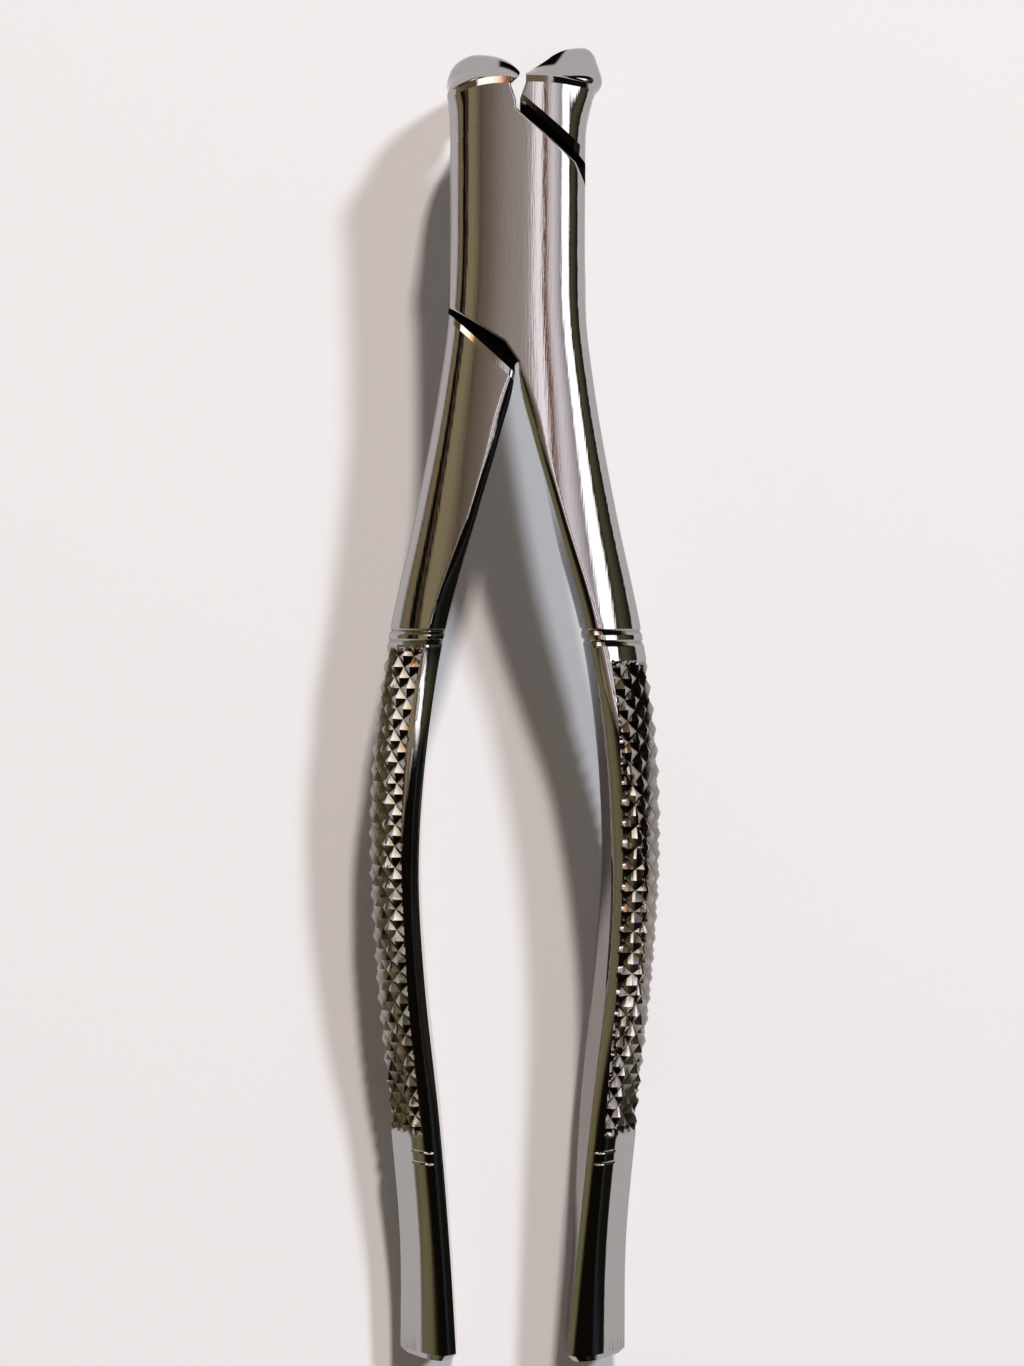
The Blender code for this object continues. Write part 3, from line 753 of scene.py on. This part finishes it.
def multiply_add(nodes, links, value, factor, added):
    made = new_node(nodes, "ShaderNodeMath", operation="MULTIPLY_ADD")
    links.new(value, made.inputs[0])
    made.inputs[1].default_value = factor
    links.new(added, made.inputs[2])
    return made.outputs["Value"]


def mix(nodes, links, factor, first, second):
    """A mix of two colours, each a tuple or a socket."""
    made = new_node(nodes, "ShaderNodeMix", data_type="RGBA")
    links.new(factor, made.inputs[0])
    for socket, colour in ((made.inputs[6], first), (made.inputs[7], second)):
        if isinstance(colour, tuple):
            socket.default_value = (*colour, 1)
        else:
            links.new(colour, socket)
    return made.outputs[2]


def polished_steel(name, colour, roughness, has_cuts):
    """Mirror-polished steel, buffing lines, faint smudges; duller cuts, and cuts, lap and beak
    patches painted as shade.
    """
    material = bpy.data.materials.new(name)
    material.use_nodes = True
    nodes, links = material.node_tree.nodes, material.node_tree.links
    shader = nodes["Principled BSDF"]
    shader.inputs["Metallic"].default_value = 1.0
    place = nodes.new("ShaderNodeTexCoord").outputs["Object"]
    stretch = nodes.new("ShaderNodeMapping")
    stretch.inputs["Scale"].default_value = BUFFING_SCALE
    links.new(place, stretch.inputs["Vector"])
    bump = nodes.new("ShaderNodeBump")
    bump.inputs["Strength"].default_value = BUFFING_STRENGTH
    bump.inputs["Distance"].default_value = BUFFING_DEPTH
    links.new(noise(nodes, links, stretch.outputs["Vector"], 1.0, 3.0), bump.inputs["Height"])
    links.new(bump.outputs["Normal"], shader.inputs["Normal"])
    smudge = noise(nodes, links, place, SMUDGE_SCALE, 4.0)
    least, most = (roughness * share for share in SMUDGE_ROUGHNESS)
    rough = map_range(nodes, links, smudge, (SMUDGE_RANGE[0], least), (SMUDGE_RANGE[1], most))
    if has_cuts:
        cut = new_node(nodes, "ShaderNodeAttribute", attribute_name="cut_depth").outputs["Fac"]
        # painted shade, near black and rougher, inside the lap and the beaks
        dark = new_node(nodes, "ShaderNodeAttribute", attribute_name="painted_shade").outputs["Fac"]
        rough = multiply_add(nodes, links, cut, CUT_ROUGHNESS, rough)
        rough = multiply_add(nodes, links, dark, DARK_ROUGHNESS, rough)
        # painted shade: the cuts' bottoms are darkened towards the cut tint
        in_cuts = tuple(value * tint for value, tint in zip(colour, CUT_SHADE_TINT))
        shade = mix(nodes, links, cut, colour, in_cuts)
        links.new(mix(nodes, links, dark, shade, PAINTED_SHADE_COLOUR), shader.inputs["Base Color"])
        # no specular tint where the shade is painted
        tint = mix(nodes, links, dark, EDGE_TINT, (0.0, 0.0, 0.0))
        links.new(tint, shader.inputs["Specular Tint"])
    else:
        shader.inputs["Base Color"].default_value = (*colour, 1)
        shader.inputs["Specular Tint"].default_value = (*EDGE_TINT, 1)
    links.new(rough, shader.inputs["Roughness"])
    return material


def build_floor():
    bm = bmesh.new()
    bmesh.ops.create_grid(bm, x_segments=1, y_segments=1, size=FLOOR_HALF_SIZE)
    mesh = bpy.data.meshes.new("floor")
    bm.to_mesh(mesh)
    bm.free()
    floor = bpy.data.objects.new("floor", mesh)
    bpy.context.scene.collection.objects.link(floor)
    material = bpy.data.materials.new("floor_cloth")
    material.use_nodes = True
    shader = material.node_tree.nodes["Principled BSDF"]
    shader.inputs["Base Color"].default_value = (*FLOOR_COLOUR, 1)
    shader.inputs["Roughness"].default_value = FLOOR_ROUGHNESS
    mesh.materials.append(material)


def ramp(nodes, links, turn, stops):
    """The colours of a room table, read at a turn about the Y axis: 0.5 is overhead."""
    made = nodes.new("ShaderNodeValToRGB")
    elements = made.color_ramp.elements
    while len(elements) > 1:
        elements.remove(elements[-1])
    for k, (angle, colour) in enumerate(stops):
        position = 0.5 + angle / 360
        element = elements[0] if k == 0 else elements.new(position)
        element.position = position
        element.color = (*colour, 1)
    links.new(turn, made.inputs["Fac"])
    return made.outputs["Color"]


def build_room():
    """The world: what the steel mirrors, a plain pale background for the camera, and a dim rest."""
    world = bpy.data.worlds.new("room")
    bpy.context.scene.world = world
    world.use_nodes = True
    nodes, links = world.node_tree.nodes, world.node_tree.links
    nodes.clear()
    split = nodes.new("ShaderNodeSeparateXYZ")
    links.new(nodes.new("ShaderNodeTexCoord").outputs["Generated"], split.inputs["Vector"])
    angle = new_node(nodes, "ShaderNodeMath", operation="ARCTAN2")
    links.new(split.outputs["X"], angle.inputs[0])
    links.new(split.outputs["Z"], angle.inputs[1])
    turn = map_range(nodes, links, angle.outputs["Value"], (-math.pi, 0.0), (math.pi, 1.0))
    room = ramp(nodes, links, turn, ROOM_ACROSS)
    for stops, (start, full) in ((ROOM_NEAR_END, ROOM_NEAR_Y), (ROOM_FAR_END, ROOM_FAR_Y)):
        share = map_range(nodes, links, split.outputs["Y"], (start, 0.0), (full, 1.0), "SMOOTHSTEP")
        room = mix(nodes, links, share, room, ramp(nodes, links, turn, stops))
    glow = new_node(nodes, "ShaderNodeVectorMath", operation="SCALE")
    glow.inputs["Scale"].default_value = ROOM_GLOW
    links.new(room, glow.inputs[0])
    path = nodes.new("ShaderNodeLightPath")
    seen = mix(nodes, links, path.outputs["Is Glossy Ray"], AMBIENT, glow.outputs["Vector"])
    seen = mix(nodes, links, path.outputs["Is Camera Ray"], seen, BACKGROUND)
    background = nodes.new("ShaderNodeBackground")
    links.new(seen, background.inputs["Color"])
    output = nodes.new("ShaderNodeOutputWorld")
    links.new(background.outputs["Background"], output.inputs["Surface"])


def area_light(name, towards, elevation, size, power, colour):
    """A square soft light that shines on the origin and isn't mirrored in the steel."""
    data = bpy.data.lights.new(name, "AREA")
    data.size = size
    data.energy = power
    data.color = colour
    light = bpy.data.objects.new(name, data)
    bpy.context.scene.collection.objects.link(light)
    flat = Vector((towards[0], towards[1], 0)).normalized() * math.cos(elevation)
    direction = Vector((flat.x, flat.y, math.sin(elevation)))
    light.location = direction * LAMP_DISTANCE
    light.rotation_euler = direction.to_track_quat("Z", "Y").to_euler()
    light.visible_glossy = False


def build_camera():
    data = bpy.data.cameras.new("camera")
    data.lens = CAMERA_LENS
    data.clip_start = NEAR_CLIP
    camera = bpy.data.objects.new("camera", data)
    camera.location = CAMERA_PLACE
    camera.rotation_euler.z = CAMERA_TURN
    bpy.context.scene.collection.objects.link(camera)
    bpy.context.scene.camera = camera


def main():
    steel = polished_steel("lever_steel", LEVER_STEEL, LEVER_ROUGHNESS, has_cuts=True)
    for name, side, node, body in (
        ("front_lever_forging", 1, "front_lever", "front_lever_body"),
        ("back_lever_forging", -1, "back_lever", "back_lever_body"),
    ):
        steel_lever(name, side, node, body).data.materials.append(steel)
    turned = polished_steel("screw_steel_turned", SCREW_STEEL, SCREW_ROUGHNESS, has_cuts=False)
    screw = frame["nodes"]["pivot_screw"]
    screw.data.materials.clear()
    screw.data.materials.append(turned)
    build_floor()
    build_room()
    for name, towards, elevation, size, power, colour in LAMPS:
        area_light(name, towards, math.radians(elevation), size, power, colour)
    build_camera()
    bpy.context.scene.view_settings.view_transform = "Standard"


main()
